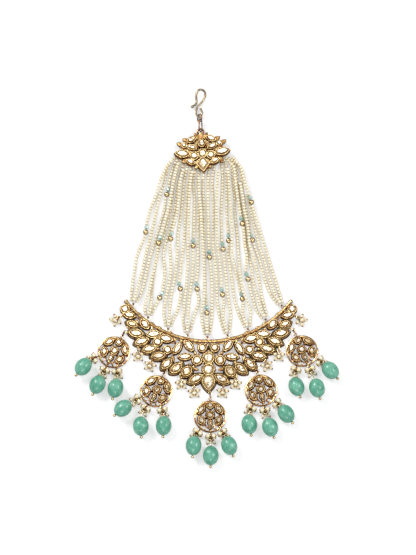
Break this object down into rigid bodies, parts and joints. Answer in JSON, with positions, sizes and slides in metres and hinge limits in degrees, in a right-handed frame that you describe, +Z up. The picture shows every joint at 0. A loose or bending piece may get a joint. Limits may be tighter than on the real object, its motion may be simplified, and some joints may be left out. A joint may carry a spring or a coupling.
{
  "type": "passa jhoomar headpiece",
  "caption": "South Asian side headpiece: a pierced, stone-set crescent and round pendants with green drops, hung from a crown plaque and hook on strings of seed pearls.",
  "frame": {"origin": "middle of the crescent's flat back plate, on the surface that the piece lies on", "axes": "+Z up, away from that surface; +Y along the piece from the crescent towards the hook; +X to the right as seen from the front"},
  "size_m": [0.1305, 0.1945, 0.0077],
  "materials": {
    "gold": "antique gold plate, polished on the high edges and dark in the recesses",
    "dark_gold": "oxidised antique gold",
    "clear_stone": "clear foil-backed cut glass",
    "seed_pearl": "cream faux seed pearl",
    "pearl": "white faux pearl with gold head pins",
    "aqua_glass": "faceted aqua glass",
    "green_stone": "polished, cloudy green stone"
  },
  "bodies": {
    "root": {"hook": "gold", "hook_links": "dark_gold", "crown_plaque": "gold", "crown_stones": "clear_stone", "strings_1": "seed_pearl", "strings_2": "seed_pearl", "strings_3": "seed_pearl", "strings_4": "seed_pearl", "strings_5": "seed_pearl", "strings_6": "seed_pearl", "strings_7": "seed_pearl", "strings_8": "seed_pearl", "strings_9": "seed_pearl", "accent_gold": "gold", "accent_aqua": "aqua_glass", "crescent_plate": "gold", "crescent_stones": "clear_stone", "edge_clusters_left": "pearl", "edge_clusters_right": "pearl", "pendant_frame_1": "gold", "pendant_frame_2": "gold", "pendant_frame_3": "gold", "pendant_frame_4": "gold", "pendant_frame_5": "gold", "pendant_stones_1": "clear_stone", "pendant_stones_2": "clear_stone", "pendant_stones_3": "clear_stone", "pendant_stones_4": "clear_stone", "pendant_stones_5": "clear_stone", "pendant_link_1": "dark_gold", "pendant_link_2": "dark_gold", "pendant_link_3": "dark_gold", "pendant_link_4": "dark_gold", "pendant_link_5": "dark_gold", "green_bead_1a": "green_stone", "green_bead_1b": "green_stone", "green_bead_1c": "green_stone", "green_bead_2a": "green_stone", "green_bead_2b": "green_stone", "green_bead_2c": "green_stone", "green_bead_3a": "green_stone", "green_bead_3b": "green_stone", "green_bead_3c": "green_stone", "green_bead_4a": "green_stone", "green_bead_4b": "green_stone", "green_bead_4c": "green_stone", "green_bead_5a": "green_stone", "green_bead_5b": "green_stone", "green_bead_5c": "green_stone", "pins_1": "gold", "pins_2": "gold", "pins_3": "gold", "pins_4": "gold", "pins_5": "gold", "clusters_1": "pearl", "clusters_2": "pearl", "clusters_3": "pearl", "clusters_4": "pearl", "clusters_5": "pearl"}
  },
  "joints": []
}
